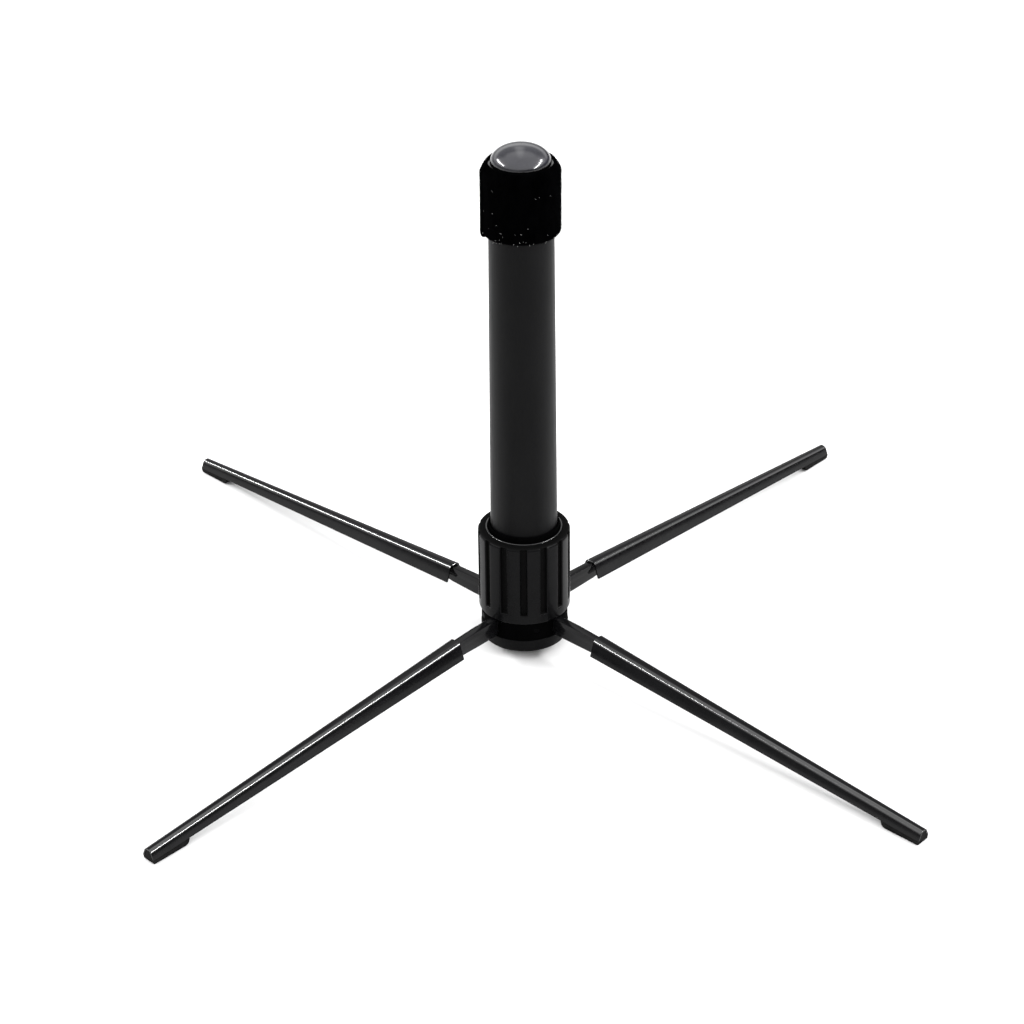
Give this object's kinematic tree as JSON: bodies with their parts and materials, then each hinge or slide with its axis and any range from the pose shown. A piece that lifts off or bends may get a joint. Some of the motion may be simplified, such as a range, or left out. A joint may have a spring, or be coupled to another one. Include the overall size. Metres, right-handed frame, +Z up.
{
  "type": "trumpet stand",
  "caption": "Compact folding stand for a trumpet: a velvet-banded stem that stands in the bell, a ribbed screw grip and legs that fold up into the stem.",
  "frame": {"origin": "on the floor, on the stem's axis, with the feet standing on z = 0", "axes": "+Z up along the stem; -Y is the front, between two legs; the legs lie at 45 degrees to X and Y"},
  "size_m": [0.2358, 0.2358, 0.1786],
  "materials": {
    "gloss_plastic": "glossy black moulding",
    "velvet": "black velvet band, soft pile",
    "satin_tube": "satin charcoal black",
    "ribbed_plastic": "satin black moulding",
    "satin_plastic": "satin black moulding",
    "matte_plastic": "dull deep black",
    "painted_steel": "black powder-smooth paint",
    "rubber": "dull black rubber",
    "steel": "plain turned steel",
    "dark_steel": "black oxide"
  },
  "bodies": {
    "base": {"base_plate": "satin_plastic", "base_screw": "steel", "hub_core": "matte_plastic", "pivot_pin_1": "dark_steel", "pivot_pin_2": "dark_steel", "pivot_pin_3": "dark_steel", "pivot_pin_4": "dark_steel"},
    "stem": {"stem_socket": "matte_plastic", "stem_tube": "satin_tube", "felt_band": "velvet", "end_cap": "gloss_plastic"},
    "grip": {"grip_sleeve": "ribbed_plastic"},
    "leg_1": {"leg_blade_1": "painted_steel", "leg_arm_1": "painted_steel", "foot_pad_1": "rubber"},
    "leg_2": {"leg_blade_2": "painted_steel", "leg_arm_2": "painted_steel", "foot_pad_2": "rubber"},
    "leg_3": {"leg_blade_3": "painted_steel", "leg_arm_3": "painted_steel", "foot_pad_3": "rubber"},
    "leg_4": {"leg_blade_4": "painted_steel", "leg_arm_4": "painted_steel", "foot_pad_4": "rubber"}
  },
  "joints": [
    {"name": "stem_lift", "type": "slide", "parent": "base", "child": "stem", "axis": [0, 0, 1], "range_m": [0, 0.17]},
    {"name": "grip_turn", "type": "hinge", "parent": "stem", "child": "grip", "pos_m": [0, 0, 0.029], "axis": [0, 0, 1], "continuous": true},
    {"name": "leg_1_fold", "type": "hinge", "parent": "base", "child": "leg_1", "pos_m": [0.00516, 0.00516, 0.01085], "axis": [0.7071, -0.7071, 0], "range_deg": [0, 93.5]},
    {"name": "leg_2_fold", "type": "hinge", "parent": "base", "child": "leg_2", "pos_m": [-0.00516, 0.00516, 0.01085], "axis": [0.7071, 0.7071, 0], "range_deg": [0, 93.5]},
    {"name": "leg_3_fold", "type": "hinge", "parent": "base", "child": "leg_3", "pos_m": [-0.00516, -0.00516, 0.01085], "axis": [-0.7071, 0.7071, 0], "range_deg": [0, 93.5]},
    {"name": "leg_4_fold", "type": "hinge", "parent": "base", "child": "leg_4", "pos_m": [0.00516, -0.00516, 0.01085], "axis": [-0.7071, -0.7071, 0], "range_deg": [0, 93.5]}
  ],
  "couplings": [
    {"joint": "leg_1_fold", "follows": "stem_lift", "rad_per_m": 9.599},
    {"joint": "leg_2_fold", "follows": "stem_lift", "rad_per_m": 9.599},
    {"joint": "leg_3_fold", "follows": "stem_lift", "rad_per_m": 9.599},
    {"joint": "leg_4_fold", "follows": "stem_lift", "rad_per_m": 9.599}
  ]
}
